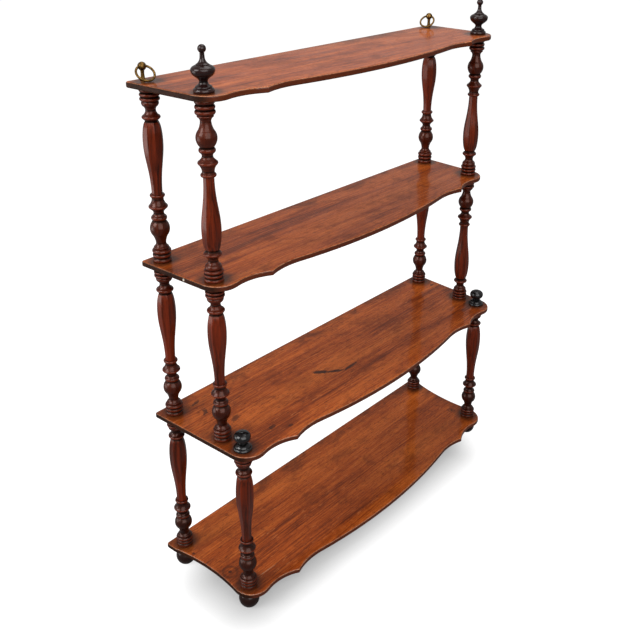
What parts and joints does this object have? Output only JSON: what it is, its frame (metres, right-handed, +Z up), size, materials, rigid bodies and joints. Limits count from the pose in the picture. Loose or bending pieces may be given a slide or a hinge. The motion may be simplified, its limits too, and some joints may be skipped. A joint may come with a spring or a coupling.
{
  "type": "turned wood wall shelf",
  "caption": "Tall open wall shelf of serpentine-fronted mahogany boards on turned spindles with faceted vases, bun feet, finials and brass hanging rings.",
  "frame": {"origin": "on the floor, under the middle of the whole object's box", "axes": "+X along the boards to the right, +Y to the straight back against the wall, +Z up"},
  "size_m": [0.874, 0.2751, 1.1154],
  "materials": {
    "mahogany_board": "french polished",
    "mahogany_turned": "polished, turned",
    "dark_foot": "dark stained, polished",
    "ebonised": "ebonised, polished",
    "dowel_wood": "bare, turned",
    "aged_brass": "aged, polished by use"
  },
  "bodies": {
    "shelf": {"dowel_second_front_left": "dowel_wood", "dowel_second_front_right": "dowel_wood", "dowel_second_rear_left": "dowel_wood", "dowel_second_rear_right": "dowel_wood", "dowel_third_front_left": "dowel_wood", "dowel_third_front_right": "dowel_wood", "dowel_third_rear_left": "dowel_wood", "dowel_third_rear_right": "dowel_wood", "dowel_top_rear_left": "dowel_wood", "dowel_top_rear_right": "dowel_wood", "finial_left": "ebonised", "finial_right": "ebonised", "foot_front_left": "dark_foot", "foot_front_right": "dark_foot", "foot_rear_left": "dark_foot", "foot_rear_right": "dark_foot", "knob_left": "ebonised", "knob_right": "ebonised", "ring_eye_left": "aged_brass", "ring_eye_right": "aged_brass", "shelf_bottom": "mahogany_board", "shelf_second": "mahogany_board", "shelf_third": "mahogany_board", "shelf_top": "mahogany_board", "spindle_lower_front_left": "mahogany_turned", "spindle_lower_front_right": "mahogany_turned", "spindle_lower_rear_left": "mahogany_turned", "spindle_lower_rear_right": "mahogany_turned", "spindle_middle_front_left": "mahogany_turned", "spindle_middle_front_right": "mahogany_turned", "spindle_middle_rear_left": "mahogany_turned", "spindle_middle_rear_right": "mahogany_turned", "spindle_upper_front_left": "mahogany_turned", "spindle_upper_front_right": "mahogany_turned", "spindle_upper_rear_left": "mahogany_turned", "spindle_upper_rear_right": "mahogany_turned"},
    "ring_left": {"hanging_ring_left": "aged_brass"},
    "ring_right": {"hanging_ring_right": "aged_brass"}
  },
  "joints": [
    {"name": "ring_left_swing", "type": "hinge", "parent": "shelf", "child": "ring_left", "pos_m": [-0.41, 0.1225, 1.0635], "axis": [-0.9848, 0.1736, 0], "range_deg": [0, 274]},
    {"name": "ring_right_swing", "type": "hinge", "parent": "shelf", "child": "ring_right", "pos_m": [0.4163, 0.1225, 1.0635], "axis": [-0.2419, 0.9703, 0], "range_deg": [0, 267]}
  ]
}
